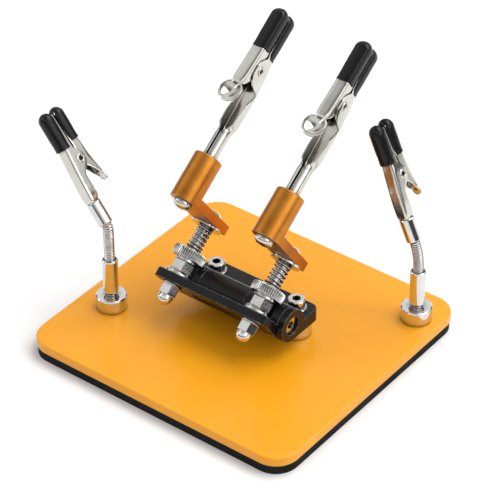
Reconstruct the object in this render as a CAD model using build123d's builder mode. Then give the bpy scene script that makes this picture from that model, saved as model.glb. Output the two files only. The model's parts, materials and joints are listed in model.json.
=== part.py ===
"""Helping hands clamp: a heavy steel base with a magnetic twin-arm clamp and two small flexible arms.

Frame: origin in the middle of the underside of the base pad, X along the front edge,
Y away from the user, Z up.  All sizes are in millimetres.
"""
from build123d import *
from math import cos, radians, sin
import os

os.makedirs("parts", exist_ok=True)

# ---- Driving dimensions -------------------------------------------------------------------
PLATE_LENGTH = 160.0          # base plate along X
PLATE_DEPTH = 152.0           # base plate along Y
PLATE_THICKNESS = 5.0
PLATE_CORNER = 13.0
PAD_THICKNESS = 5.0           # soft pad glued under the plate
PAD_INSET = 0.5
PLATE_TOP = PAD_THICKNESS + PLATE_THICKNESS

FOOT_RADIUS = 8.0             # magnetic cups under the clamp and under the small arms
FOOT_HEIGHT = 8.0
MAGNET_RADIUS = 6.5
MAGNET_THICKNESS = 3.0
FIT = 0.1                     # radial play of a running fit

HINGE_Y = -5.4                # hinge axis, parallel to X
BARREL_RADIUS = 8.8
HINGE_Z = PLATE_TOP + FOOT_HEIGHT + BARREL_RADIUS
LEAF_HALF_LENGTH = 33.9       # base leaf along X
LEAF_BACK_Y = 17.5
LEAF_FRONT_Y = 4.0
LEAF_THICKNESS = 7.0
LEAF_CORNER = 4.5             # rounding of the base leaf's back corners
LEAF_EDGE = 0.5               # small chamfer along the leaves' outlines
WEB_OVERLAP = 1.0             # how far a knuckle's web runs into its leaf
FOOT_X = 25.2
FOOT_Y = 9.4
HINGE_BOLT_RADIUS = 2.5
HINGE_HEAD_RADIUS = 5.0
KNUCKLE_GAP = 0.3
MIDDLE_KNUCKLE = (-19.9, 7.2)  # base leaf knuckle, along X
TILT_LEFT_KNUCKLE = (-33.6, -20.2)
TILT_RIGHT_KNUCKLE = (7.5, 30.0)

TILT = 54.5                   # lean of the pivot bolts back from vertical
WING_LEFT = -40.0
WING_RIGHT = 30.0
WING_REACH = 18.3             # from the hinge axis to the wing's free edge
WING_THICKNESS = 4.7
WING_CORNER = 3.0
WING_TOP = -BARREL_RADIUS + WING_THICKNESS
PIVOT_X = {"left": -31.0, "right": 18.4}
PIVOT_REACH = 11.0            # from the hinge axis to the pivot bolts
PIVOT_RADIUS = 3.0            # M6 pivot bolt

FLANGE_NUT_HEIGHT = 7.7
FLANGE_RADIUS = 7.3
KNURL_RADIUS = 9.0
KNURL_BOTTOM = 5.6
KNURL_HEIGHT = 5.0
KNURL_TEETH = 48
SEAT_THICKNESS = 0.8
CRANK_WASHER_THICKNESS = 1.4
CRANK_BOTTOM = 26.2           # along the pivot bolt, from the hinge axis
CRANK_REACH = 29.0            # pivot bolt to the holder's axis
CRANK_RADIUS = 7.6
CRANK_TAB = 5.0
CRANK_HEIGHT = 25.4
HOLDER_DEPTH = 18.0           # bore that takes the clip's shank
SWIVEL_RADIUS = 2.0           # M4 screw that the clip turns on
CRANK_YAW = {"left": -2.5, "right": 0.0}

ARM_PLACES = {"left": (-61.5, -30.8), "right": (66.9, 54.7)}
ARM_LEAN = {"left": 39.0, "right": 25.0}        # lean of the small clip from vertical
ARM_BEND_START = {"left": 57.5, "right": 42.0}  # height where the gooseneck starts to bend
ARM_BEND_RADIUS = {"left": 6.0, "right": 36.0}
POST_RADIUS = 4.0
POST_BOTTOM = PLATE_TOP + 5.0
POST_TOP = 40.0
NECK_RADIUS = 2.6
NECK_PLAY = 0.05
FERRULE_RADIUS = 3.9
FERRULE_LENGTH = 12.5


# ---- Frames -------------------------------------------------------------------------------
STUD_DIR = Vector(0, sin(radians(TILT)), cos(radians(TILT)))
BACK_DIR = Vector(0, cos(radians(TILT)), -sin(radians(TILT)))
HINGE_CENTRE = Vector(0, HINGE_Y, HINGE_Z)


def leaf_plane(x, reach, height, turn=0.0):
    """Plane square to the pivot bolts: reach is measured forward of the hinge axis."""
    origin = HINGE_CENTRE + Vector(x, 0, 0) - BACK_DIR * reach + STUD_DIR * height
    x_dir = Vector(cos(radians(turn)), 0, 0) + BACK_DIR * sin(radians(turn))
    return Plane(origin=origin, x_dir=x_dir, z_dir=STUD_DIR)


def across_plane(x):
    """Plane square to the hinge axis, its own X running back and its Y along the bolts."""
    return Plane(origin=HINGE_CENTRE + Vector(x, 0, 0), x_dir=BACK_DIR, z_dir=(1, 0, 0))


def save(part, name):
    """Label a finished piece and write it."""
    part.label = name
    export_step(part, f"parts/{name}.step")
    print(f"{name:28s} volume {part.volume:10.1f}")


def both(pieces):
    """Identical fasteners in one group of separate solids."""
    return Compound(children=list(pieces))


# ---- Simple turned pieces -----------------------------------------------------------------
def washer(plane, outer, inner, thickness):
    with BuildPart() as ring:
        with BuildSketch(plane):
            Circle(outer)
            Circle(inner, mode=Mode.SUBTRACT)
        extrude(amount=thickness)
        chamfer(ring.edges().filter_by(GeomType.CIRCLE).sort_by(SortBy.RADIUS)[-2:], 0.2)
    return ring.part


def socket_screw(plane, head_radius, head_height, shank_radius, shank_length, key):
    """Cap screw: the plane is under the head, with Z towards the head."""
    with BuildPart() as screw:
        with BuildSketch(plane):
            Circle(head_radius)
        extrude(amount=head_height)
        chamfer(screw.edges().sort_by(lambda e: (e.center() - plane.origin).dot(plane.z_dir))[-1], 0.5)
        with BuildSketch(plane.offset(head_height)):
            RegularPolygon(key / 2, 6, major_radius=False)
        extrude(amount=-0.55 * head_height, mode=Mode.SUBTRACT)
        with BuildSketch(plane):
            Circle(shank_radius)
        extrude(amount=-shank_length)
    return screw.part


def magnet_cup(x, y, bore_radius, bore_depth):
    """Steel cup with a pocket below for the magnet and a threaded hole above."""
    with BuildPart() as cup:
        with BuildSketch(Plane.XY.offset(PLATE_TOP)):
            with Locations((x, y)):
                Circle(FOOT_RADIUS)
        extrude(amount=FOOT_HEIGHT)
        chamfer(cup.edges().filter_by(GeomType.CIRCLE), 0.6)
        with BuildSketch(Plane.XY.offset(PLATE_TOP)):
            with Locations((x, y)):
                Circle(MAGNET_RADIUS)
        extrude(amount=MAGNET_THICKNESS + 0.2, mode=Mode.SUBTRACT)
        with BuildSketch(Plane.XY.offset(PLATE_TOP + FOOT_HEIGHT)):
            with Locations((x, y)):
                Circle(bore_radius)
        extrude(amount=-bore_depth, mode=Mode.SUBTRACT)
    return cup.part


def magnet(x, y):
    with BuildPart() as disc:
        with BuildSketch(Plane.XY.offset(PLATE_TOP + 0.2)):
            with Locations((x, y)):
                Circle(MAGNET_RADIUS)
        extrude(amount=MAGNET_THICKNESS)
    return disc.part


# ---- Base ---------------------------------------------------------------------------------
with BuildPart() as base_plate:
    with BuildSketch(Plane.XY.offset(PAD_THICKNESS)):
        RectangleRounded(PLATE_LENGTH, PLATE_DEPTH, PLATE_CORNER)
    extrude(amount=PLATE_THICKNESS)
    fillet(base_plate.faces().sort_by(Axis.Z)[-1].edges(), 0.9)
    fillet(base_plate.faces().sort_by(Axis.Z)[0].edges(), 0.5)
save(base_plate.part, "base_plate")

with BuildPart() as base_pad:
    with BuildSketch(Plane.XY):
        RectangleRounded(PLATE_LENGTH - 2 * PAD_INSET, PLATE_DEPTH - 2 * PAD_INSET, PLATE_CORNER - PAD_INSET)
    extrude(amount=PAD_THICKNESS)
save(base_pad.part, "base_pad")

# ---- Clamp base: feet, base leaf and hinge bolt ---------------------------------------------
LEAF_BOTTOM = PLATE_TOP + FOOT_HEIGHT
LEAF_TOP = LEAF_BOTTOM + LEAF_THICKNESS
FOOT_SCREW_RADIUS = 2.5
FOOT_WASHER = 1.0

save(both(magnet_cup(side * FOOT_X, FOOT_Y, FOOT_SCREW_RADIUS, 4.5) for side in (-1, 1)), "clamp_foot_cups")
save(both(magnet(side * FOOT_X, FOOT_Y) for side in (-1, 1)), "clamp_foot_magnets")

HINGE_BORE = HINGE_BOLT_RADIUS + 0.08
RIGHT_KNUCKLE = (TILT_RIGHT_KNUCKLE[1] + KNUCKLE_GAP, LEAF_HALF_LENGTH)
base_web = LEAF_FRONT_Y - HINGE_Y + WEB_OVERLAP

with BuildPart() as hinge_base:
    with BuildSketch(Plane.XY.offset(LEAF_BOTTOM)):
        with Locations((0, (LEAF_BACK_Y + LEAF_FRONT_Y) / 2)):
            Rectangle(2 * LEAF_HALF_LENGTH, LEAF_BACK_Y - LEAF_FRONT_Y)
    extrude(amount=LEAF_THICKNESS)
    fillet(hinge_base.edges().filter_by(Axis.Z).group_by(Axis.Y)[-1], LEAF_CORNER)
    chamfer(hinge_base.faces().sort_by(Axis.Z)[-1].edges(), LEAF_EDGE)
    for start, end in (MIDDLE_KNUCKLE, RIGHT_KNUCKLE):
        with BuildSketch(Plane(origin=(start, HINGE_Y, HINGE_Z), x_dir=(0, 1, 0), z_dir=(1, 0, 0))):
            Circle(BARREL_RADIUS)
            with Locations((base_web / 2, LEAF_BOTTOM + LEAF_THICKNESS / 2 - HINGE_Z)):
                Rectangle(base_web, LEAF_THICKNESS)
        extrude(amount=end - start)
    with BuildSketch(Plane(origin=(MIDDLE_KNUCKLE[0], HINGE_Y, HINGE_Z), x_dir=(0, 1, 0), z_dir=(1, 0, 0))):
        Circle(HINGE_BORE)
    extrude(amount=MIDDLE_KNUCKLE[1] - MIDDLE_KNUCKLE[0], mode=Mode.SUBTRACT)
    with BuildSketch(Plane(origin=(RIGHT_KNUCKLE[0], HINGE_Y, HINGE_Z), x_dir=(0, 1, 0), z_dir=(1, 0, 0))):
        Circle(HINGE_HEAD_RADIUS + FIT)
    extrude(amount=RIGHT_KNUCKLE[1] - RIGHT_KNUCKLE[0], mode=Mode.SUBTRACT)
    with BuildSketch(Plane.XY.offset(LEAF_TOP)):
        with Locations((-FOOT_X, FOOT_Y), (FOOT_X, FOOT_Y)):
            Circle(FOOT_SCREW_RADIUS + 0.25)
    extrude(amount=-LEAF_THICKNESS, mode=Mode.SUBTRACT)
save(hinge_base.part, "hinge_base")


def foot_screw(side):
    plane = Plane(origin=(side * FOOT_X, FOOT_Y, LEAF_TOP + FOOT_WASHER))
    return socket_screw(plane, 4.4, 5.0, FOOT_SCREW_RADIUS, LEAF_THICKNESS + FOOT_WASHER + 4.0, 4.0)


save(both(foot_screw(side) for side in (-1, 1)), "foot_screws")
save(
    both(
        washer(Plane(origin=(side * FOOT_X, FOOT_Y, LEAF_TOP)), 5.3, FOOT_SCREW_RADIUS, FOOT_WASHER)
        for side in (-1, 1)
    ),
    "foot_washers",
)

HINGE_HEAD = 2.4
HINGE_NUT = 4.0
with BuildPart() as hinge_bolt:
    head_x = TILT_RIGHT_KNUCKLE[1] + FIT
    head_plane = Plane(origin=(head_x, HINGE_Y, HINGE_Z), x_dir=(0, 1, 0), z_dir=(1, 0, 0))
    with BuildSketch(head_plane):
        Circle(HINGE_HEAD_RADIUS)
    extrude(amount=HINGE_HEAD)
    with BuildSketch(head_plane.offset(HINGE_HEAD)):
        RegularPolygon(2.0, 6, major_radius=False)
    extrude(amount=-1.8, mode=Mode.SUBTRACT)
    with BuildSketch(head_plane):
        Circle(HINGE_BOLT_RADIUS)
    extrude(amount=-(TILT_RIGHT_KNUCKLE[1] + FIT - TILT_LEFT_KNUCKLE[0] + HINGE_NUT + 1.2))
save(hinge_bolt.part, "hinge_bolt")

with BuildPart() as hinge_nut:
    nut_x = TILT_LEFT_KNUCKLE[0] - FIT
    nut_plane = Plane(origin=(nut_x, HINGE_Y, HINGE_Z), x_dir=(0, 1, 0), z_dir=(-1, 0, 0))
    with BuildSketch(nut_plane):
        RegularPolygon(4.0, 6, major_radius=False)
        Circle(HINGE_BOLT_RADIUS, mode=Mode.SUBTRACT)
    extrude(amount=HINGE_NUT)
save(hinge_nut.part, "hinge_nut")

# ---- Tilting leaf ---------------------------------------------------------------------------
CLEAR_OF_BARREL = 9.0         # back edge of the wing where it passes the base leaf's knuckle
OPEN_CUT = 20.0               # tall enough to clear everything over the wing
tilt_web = CLEAR_OF_BARREL + WING_CORNER + WEB_OVERLAP
stud_axis = Axis(HINGE_CENTRE, STUD_DIR)

with BuildPart() as tilt_leaf:
    with BuildSketch(across_plane(WING_LEFT)):
        with Locations((-(WING_REACH + CLEAR_OF_BARREL) / 2, WING_TOP - WING_THICKNESS / 2)):
            Rectangle(WING_REACH - CLEAR_OF_BARREL, WING_THICKNESS)
    extrude(amount=WING_RIGHT - WING_LEFT)
    fillet(tilt_leaf.edges().filter_by(stud_axis), WING_CORNER)
    chamfer(tilt_leaf.faces().sort_by(stud_axis)[-1].edges(), LEAF_EDGE)
    for start, end in (TILT_LEFT_KNUCKLE, TILT_RIGHT_KNUCKLE):
        with BuildSketch(across_plane(start)):
            Circle(BARREL_RADIUS)
            with Locations((-tilt_web / 2, WING_TOP - WING_THICKNESS / 2)):
                Rectangle(tilt_web, WING_THICKNESS)
        extrude(amount=end - start)
    for x in PIVOT_X.values():
        with BuildSketch(leaf_plane(x, PIVOT_REACH, WING_TOP)):
            Circle(FLANGE_RADIUS + 0.25)
        extrude(amount=OPEN_CUT, mode=Mode.SUBTRACT)
        with BuildSketch(leaf_plane(x, PIVOT_REACH, KNURL_BOTTOM - 0.5)):
            Circle(KNURL_RADIUS + 0.5)
        extrude(amount=OPEN_CUT, mode=Mode.SUBTRACT)
        with BuildSketch(leaf_plane(x, PIVOT_REACH, WING_TOP)):
            Circle(PIVOT_RADIUS + 0.15)
        extrude(amount=-WING_THICKNESS, mode=Mode.SUBTRACT)
    with BuildSketch(across_plane(WING_LEFT)):
        Circle(HINGE_BORE)
    extrude(amount=WING_RIGHT - WING_LEFT, mode=Mode.SUBTRACT)
save(tilt_leaf.part, "tilt_leaf")

WING_BOTTOM = -BARREL_RADIUS
LOWER_WASHER = 1.0
ACORN_HEX = 5.2
ACORN_HEIGHT = 10.2
SHANK_IN_ACORN = 7.0


def acorn_nut(x):
    plane = leaf_plane(x, PIVOT_REACH, WING_BOTTOM - LOWER_WASHER)
    with BuildPart() as nut:
        with BuildSketch(plane):
            RegularPolygon(4.4, 6, major_radius=False)
        extrude(amount=-ACORN_HEX)
        with BuildSketch(Plane(plane.origin, x_dir=plane.x_dir, z_dir=plane.y_dir * -1)):
            with BuildLine():
                Polyline((0.5, -ACORN_HEIGHT), (0, -ACORN_HEIGHT), (0, -1), (3.9, -1), (3.9, -ACORN_HEX - 1.5))
                ThreePointArc((3.9, -ACORN_HEX - 1.5), (2.9, -ACORN_HEX - 3.9), (0.5, -ACORN_HEIGHT))
            make_face()
        revolve(axis=Axis(plane.origin, plane.z_dir))
        with BuildSketch(plane):
            Circle(PIVOT_RADIUS)
        extrude(amount=-SHANK_IN_ACORN, mode=Mode.SUBTRACT)
    return nut.part


def flange_nut(x):
    plane = leaf_plane(x, PIVOT_REACH, WING_TOP)
    with BuildPart() as nut:
        with BuildSketch(plane):
            Circle(FLANGE_RADIUS)
        extrude(amount=1.3)
        with BuildSketch(plane.offset(1.3)):
            Circle(FLANGE_RADIUS - 0.2)
        extrude(amount=1.2, taper=40)
        with BuildSketch(plane):
            RegularPolygon(5.2, 6, major_radius=False)
        extrude(amount=FLANGE_NUT_HEIGHT)
        with BuildSketch(plane):
            Circle(PIVOT_RADIUS)
        extrude(amount=FLANGE_NUT_HEIGHT, mode=Mode.SUBTRACT)
    return nut.part


def pivot_bolt(x):
    """Button head screw that the crank turns about."""
    top = leaf_plane(x, PIVOT_REACH, CRANK_BOTTOM + CRANK_TAB)
    bottom = WING_BOTTOM - LOWER_WASHER - SHANK_IN_ACORN + 0.3
    with BuildPart() as bolt:
        with BuildSketch(Plane(top.origin, x_dir=top.x_dir, z_dir=top.y_dir * -1)):
            with BuildLine():
                Polyline((1.0, 2.9), (0, 2.9), (0, 0), (5.3, 0), (5.3, 0.5))
                ThreePointArc((5.3, 0.5), (3.8, 2.1), (1.0, 2.9))
            make_face()
        revolve(axis=Axis(top.origin, top.z_dir))
        with BuildSketch(top.offset(1.0)):
            RegularPolygon(2.0, 6, major_radius=False)
        extrude(amount=3.0, mode=Mode.SUBTRACT)
        with BuildSketch(top):
            Circle(PIVOT_RADIUS)
        extrude(amount=bottom - CRANK_BOTTOM - CRANK_TAB)
    return bolt.part


def leaf_washer(x):
    plane = leaf_plane(x, PIVOT_REACH, WING_BOTTOM - LOWER_WASHER)
    return washer(plane, 5.3, PIVOT_RADIUS, LOWER_WASHER)


save(both(leaf_washer(x) for x in PIVOT_X.values()), "leaf_washers")
save(both(acorn_nut(x) for x in PIVOT_X.values()), "acorn_nuts")
save(both(flange_nut(x) for x in PIVOT_X.values()), "flange_nuts")
save(both(pivot_bolt(x) for x in PIVOT_X.values()), "pivot_bolts")


# ---- Springs --------------------------------------------------------------------------------
def coil(plane, mean_radius, wire_radius, length, turns):
    """Helical wire coil standing on a plane."""
    rise = length - 2 * wire_radius
    with BuildPart() as spring:
        with BuildLine():
            path = Helix(
                pitch=rise / turns,
                height=rise,
                radius=mean_radius,
                center=plane.offset(wire_radius).origin,
                direction=plane.z_dir,
            )
        with BuildSketch(Plane(origin=path @ 0, z_dir=path % 0)):
            Circle(wire_radius)
        sweep()
    return spring.part


# ---- Alligator clips ------------------------------------------------------------------------
RIVET_RADIUS = 1.2


class Clip:
    """Sizes of one alligator clip.

    Lengths along the clip start at the mouth of its holder.  Heights are measured from the
    shank's axis towards the upper jaw.
    """

    def __init__(self, length, rivet, mouth, half_width, sheet, shank, bore, shank_depth, boot, lift, pad):
        self.length = length              # holder to the tips of the boots
        self.rivet = rivet                # holder to the rivet
        self.mouth = mouth                # height of the closed jaws and of the rivet
        self.half_width = half_width      # half width of the upper jaw
        self.sheet = sheet
        self.shank = shank                # radius of the rolled shank
        self.bore = bore                  # radius inside the crimped end of the shank
        self.shank_depth = shank_depth    # length inside the holder
        self.boot = boot                  # length of a rubber boot
        self.lift = lift                  # height of the upper jaw's back
        self.pad = pad                    # radius of the thumb pad
        self.tip = length - 1.6           # end of the metal nose
        self.ear_half_width = half_width + sheet + 0.2


LARGE = Clip(
    length=82.4, rivet=49.2, mouth=5.5, half_width=3.7, sheet=0.7, shank=4.0, bore=SWIVEL_RADIUS,
    shank_depth=17.8, boot=23.4, lift=11.8, pad=6.5,
)
SMALL = Clip(
    length=50.0, rivet=22.0, mouth=4.6, half_width=3.0, sheet=0.6, shank=3.0, bore=1.5,
    shank_depth=5.5, boot=20.0, lift=10.2, pad=3.4,
)


def side_plane(frame, x):
    """Side view of a clip: the plane's X runs to the tip and its Y towards the upper jaw."""
    return Plane(origin=frame.from_local_coords((x, 0, 0)), x_dir=frame.z_dir, z_dir=frame.x_dir)


def lower_jaw(frame, clip):
    start = 0.19 * clip.length            # where the shank opens into a channel
    crimp = 0.55 * clip.shank_depth       # solid stretch of the shank, measured from the holder's mouth
    nose = clip.length - clip.boot - 2.0
    web = -clip.shank
    ear = 1.8 * clip.mouth
    inner = clip.ear_half_width - clip.sheet
    with BuildPart() as jaw:
        with BuildSketch(frame.offset(-clip.shank_depth)):
            Circle(clip.shank)
        extrude(amount=clip.shank_depth + start)
        # channel with flared walls and an ear on each side of the rivet
        with BuildSketch(side_plane(frame, -clip.ear_half_width)):
            with BuildLine():
                Polyline(
                    (start, 0.3 * clip.shank),
                    (start, web),
                    (clip.rivet - 6, web * 0.97),
                    (nose, web * 0.12),
                    (nose, clip.mouth - 0.4),
                    (clip.rivet + 3.2, ear - 1.2),
                )
                ThreePointArc(
                    (clip.rivet + 3.2, ear - 1.2),
                    (clip.rivet, ear),
                    (clip.rivet - 3.4, ear - 1.6),
                )
                Spline(
                    (clip.rivet - 3.4, ear - 1.6),
                    (clip.rivet - 0.14 * clip.length, web * 0.30),
                    (start + 0.10 * clip.length, 0.55 * clip.shank),
                    (start, 0.3 * clip.shank),
                )
            make_face()
        extrude(amount=2 * clip.ear_half_width)
        with BuildSketch(side_plane(frame, -inner)):
            Polygon(
                (start + clip.sheet, ear + 2),
                (start + clip.sheet, web + clip.sheet),
                (clip.rivet - 6, web * 0.97 + clip.sheet),
                (nose - 0.01, web * 0.12 + clip.sheet),
                (nose - 0.01, ear + 2),
                align=None,
            )
        extrude(amount=2 * inner, mode=Mode.SUBTRACT)
        # rolled shank with its open seam towards the upper jaw
        with BuildSketch(frame.offset(-clip.shank_depth)):
            Circle(clip.bore)
        extrude(amount=clip.shank_depth, mode=Mode.SUBTRACT)
        with BuildSketch(frame.offset(-crimp)):
            Circle(clip.shank - clip.sheet)
        extrude(amount=crimp + start + clip.sheet, mode=Mode.SUBTRACT)
        with BuildSketch(frame.offset(-0.5)):
            with Locations((0, -clip.shank)):
                Rectangle(0.45 * clip.shank, clip.shank)
        extrude(amount=start + 0.5 + clip.sheet, mode=Mode.SUBTRACT)
        # nose that carries the boot
        with BuildSketch(side_plane(frame, -clip.half_width)):
            Polygon(
                (nose - 1.5, web * 0.12 - 0.35),
                (clip.tip - 1.5, 0.35 * clip.mouth),
                (clip.tip, 0.6 * clip.mouth),
                (clip.tip, clip.mouth - 0.7),
                (nose - 1.5, clip.mouth - 0.7),
                align=None,
            )
        extrude(amount=2 * clip.half_width)
        with BuildSketch(side_plane(frame, -clip.half_width + clip.sheet)):
            Polygon(
                (nose - 2.5, web * 0.12 - 0.35 + clip.sheet),
                (clip.tip - 2.2, 0.35 * clip.mouth + clip.sheet),
                (clip.tip - 1.2, clip.mouth),
                (nose - 2.5, clip.mouth),
                align=None,
            )
        extrude(amount=2 * (clip.half_width - clip.sheet), mode=Mode.SUBTRACT)
        # rivet hole
        with BuildSketch(side_plane(frame, -clip.ear_half_width - 1)):
            with Locations((clip.rivet, clip.mouth)):
                Circle(RIVET_RADIUS)
        extrude(amount=2 * clip.ear_half_width + 2, mode=Mode.SUBTRACT)
    return jaw.part


def upper_jaw(frame, clip):
    nose = clip.length - clip.boot
    heel = clip.rivet - 0.12 * clip.length
    back = clip.lift + 0.9
    pad_at = clip.rivet - 0.2 * clip.length
    with BuildPart() as jaw:
        with BuildSketch(side_plane(frame, -clip.half_width)):
            with BuildLine():
                Polyline(
                    (heel, back + 0.5),
                    (clip.rivet, back),
                    (nose, clip.lift),
                    (clip.tip - 1.5, clip.lift - 1.6),
                    (clip.tip, clip.lift - 3.0),
                    (clip.tip, clip.mouth + 0.7),
                    (clip.rivet + 5.5, clip.mouth + 0.7),
                    (clip.rivet + 2.6, clip.mouth - 2.0),
                )
                ThreePointArc(
                    (clip.rivet + 2.6, clip.mouth - 2.0),
                    (clip.rivet, clip.mouth - 3.2),
                    (clip.rivet - 2.6, clip.mouth - 2.0),
                )
                Polyline(
                    (clip.rivet - 2.6, clip.mouth - 2.0),
                    (heel + 0.6, clip.mouth + 3.2),
                    (heel, back + 0.5),
                )
            make_face()
        extrude(amount=2 * clip.half_width)
        with BuildSketch(side_plane(frame, -clip.half_width + clip.sheet)):
            Polygon(
                (heel - 1, back + 0.5 - clip.sheet),
                (clip.rivet, back - clip.sheet),
                (nose, clip.lift - clip.sheet),
                (clip.tip - 2.0, clip.lift - 1.6 - clip.sheet),
                (clip.tip - 1.0, clip.lift - 3.4),
                (clip.tip - 1.0, 0),
                (clip.rivet - 8, -4),
                (heel - 1, 0),
                align=None,
            )
        extrude(amount=2 * (clip.half_width - clip.sheet), mode=Mode.SUBTRACT)
        # lever with a round thumb pad, bent slightly outward
        lift_angle = 9.0
        lever = Plane(
            origin=frame.from_local_coords((0, -(back + 0.5 - clip.sheet), heel + 0.4)),
            x_dir=frame.x_dir,
            z_dir=frame.y_dir * -1,
        ).rotated((-lift_angle, 0, 0))
        pad_reach = heel - pad_at
        with BuildSketch(lever):
            with BuildLine():
                Polyline(
                    (-clip.half_width, 0),
                    (clip.half_width, 0),
                    (0.9 * clip.pad, pad_reach * 0.72),
                    (-0.9 * clip.pad, pad_reach * 0.72),
                    close=True,
                )
            make_face()
            with Locations((0, pad_reach)):
                Circle(clip.pad)
        extrude(amount=clip.sheet)
        with BuildSketch(side_plane(frame, -clip.ear_half_width)):
            with Locations((clip.rivet, clip.mouth)):
                Circle(RIVET_RADIUS + 0.08)
        extrude(amount=2 * clip.ear_half_width, mode=Mode.SUBTRACT)
    return jaw.part


def clip_rivet(frame, clip):
    """Hollow eyelet rivet through both jaws."""
    face = clip.ear_half_width
    axis_point = frame.from_local_coords((-face, -clip.mouth, clip.rivet))
    plane = Plane(origin=axis_point, x_dir=frame.z_dir, z_dir=frame.x_dir)
    with BuildPart() as rivet:
        with BuildSketch(plane):
            Circle(RIVET_RADIUS)
        extrude(amount=2 * face)
        for rim in (plane.offset(-0.6), plane.offset(2 * face)):
            with BuildSketch(rim):
                Circle(2.2)
            extrude(amount=0.6)
        with BuildSketch(plane.offset(-1)):
            Circle(0.7)
        extrude(amount=2 * face + 2, mode=Mode.SUBTRACT)
    return rivet.part


def jaw_spring(frame, clip):
    """Torsion spring round the rivet, with one leg in each jaw."""
    span = 2 * (clip.half_width - clip.sheet - 0.4)
    wire = 0.4
    radius = 1.9
    centre = frame.from_local_coords((-span / 2, -clip.mouth, clip.rivet))
    plane = Plane(origin=centre, x_dir=frame.z_dir * -1, z_dir=frame.x_dir)
    with BuildPart() as spring:
        with BuildSketch(plane):
            Circle(radius + wire)
            Circle(radius - wire, mode=Mode.SUBTRACT)
        extrude(amount=span)
        for turn, offset in ((1, 0.0), (-1, span - 2 * wire)):
            with BuildSketch(plane.offset(offset)):
                with Locations((3.2, turn * radius)):
                    Rectangle(6.4, 2 * wire)
            extrude(amount=2 * wire)
    return spring.part


def boot(frame, clip, upper):
    """Soft rounded sleeve over one nose, hollow where the nose sits."""
    start = clip.length - clip.boot
    low, high = (clip.mouth + 0.1, clip.lift + 0.8) if upper else (-1.4, clip.mouth - 0.1)
    wall = 0.6
    with BuildPart() as sleeve:
        if not upper:
            start = start - 2.0
        middle = frame.offset(start)
        with BuildSketch(middle):
            with Locations((0, -(low + high) / 2)):
                RectangleRounded(2 * (clip.half_width + wall), high - low, (high - low) * 0.42)
        extrude(amount=clip.length - start)
        end_edges = sleeve.faces().sort_by(Axis(frame.origin, frame.z_dir))[-1].edges()
        fillet(end_edges, 2.6)
    return sleeve.part


def clip_set(frame, clip, prefix):
    """All the pieces of one clip, with the boots hollowed by the jaws they cover."""
    lower = lower_jaw(frame, clip)
    upper = upper_jaw(frame, clip)
    save(lower, f"{prefix}_lower_jaw")
    save(upper, f"{prefix}_upper_jaw")
    save(clip_rivet(frame, clip), f"{prefix}_rivet")
    save(jaw_spring(frame, clip), f"{prefix}_jaw_spring")
    save(boot(frame, clip, True) - upper, f"{prefix}_upper_boot")
    save(boot(frame, clip, False) - lower, f"{prefix}_lower_boot")


# ---- Main arms ------------------------------------------------------------------------------
def knurled_nut(x):
    plane = leaf_plane(x, PIVOT_REACH, KNURL_BOTTOM)
    collar = KNURL_BOTTOM - (WING_TOP + FLANGE_NUT_HEIGHT) - 0.3
    with BuildPart() as nut:
        with BuildSketch(plane):
            Circle(KNURL_RADIUS)
        extrude(amount=KNURL_HEIGHT)
        chamfer(nut.edges().filter_by(GeomType.CIRCLE), 0.5)
        with BuildSketch(plane):
            with PolarLocations(KNURL_RADIUS + 0.1, KNURL_TEETH):
                RegularPolygon(0.55, 4)
        extrude(amount=KNURL_HEIGHT, mode=Mode.SUBTRACT)
        with BuildSketch(plane):
            Circle(6.0)
        extrude(amount=-collar)
        with BuildSketch(plane.offset(KNURL_HEIGHT)):
            Circle(PIVOT_RADIUS + FIT)
        extrude(amount=-KNURL_HEIGHT - collar, mode=Mode.SUBTRACT)
    return nut.part


def crank_arm(frame):
    """Holder tube with a flat tab at its foot; the frame stands on the pivot bolt's axis."""
    with BuildPart() as crank:
        with BuildSketch(frame):
            with Locations((0, -CRANK_REACH)):
                Circle(CRANK_RADIUS)
        extrude(amount=CRANK_HEIGHT)
        top_edge = crank.edges().sort_by(Axis(frame.origin, frame.z_dir))[-1]
        chamfer(top_edge, 0.5)
        with BuildSketch(frame):
            with Locations((0, -(CRANK_REACH - 7.2) / 2)):
                Rectangle(2 * CRANK_RADIUS, CRANK_REACH + 7.2)
        extrude(amount=CRANK_TAB)
        with BuildSketch(frame.offset(CRANK_HEIGHT)):
            with Locations((0, -CRANK_REACH)):
                Circle(LARGE.shank + FIT)
        extrude(amount=-HOLDER_DEPTH, mode=Mode.SUBTRACT)
        with BuildSketch(frame):
            with Locations((0, -CRANK_REACH)):
                Circle(SWIVEL_RADIUS + FIT)
        extrude(amount=CRANK_HEIGHT, mode=Mode.SUBTRACT)
        with BuildSketch(frame):
            Circle(PIVOT_RADIUS + FIT)
        extrude(amount=CRANK_TAB, mode=Mode.SUBTRACT)
    return crank.part


def swivel_screw(frame):
    """Pan head screw that holds the clip's shank down in the holder; Z points at the head."""
    head = 3.4
    with BuildPart() as screw:
        with BuildSketch(Plane(frame.origin, x_dir=frame.x_dir, z_dir=frame.y_dir * -1)):
            with BuildLine():
                Polyline((2.4, head), (0, head), (0, 0), (4.9, 0), (4.9, 1.4))
                ThreePointArc((4.9, 1.4), (4.1, 2.8), (2.4, head))
            make_face()
        revolve(axis=Axis(frame.origin, frame.z_dir))
        with BuildSketch(frame.offset(head)):
            Rectangle(4.2, 1.1)
            Rectangle(1.1, 4.2)
        extrude(amount=-1.7, mode=Mode.SUBTRACT)
        with BuildSketch(frame):
            Circle(SWIVEL_RADIUS)
        extrude(amount=-(CRANK_HEIGHT - HOLDER_DEPTH + 7.0))
    return screw.part


SEAT_BOTTOM = KNURL_BOTTOM + KNURL_HEIGHT
SPRING_BOTTOM = SEAT_BOTTOM + SEAT_THICKNESS
SPRING_TOP = CRANK_BOTTOM - CRANK_WASHER_THICKNESS

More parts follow.
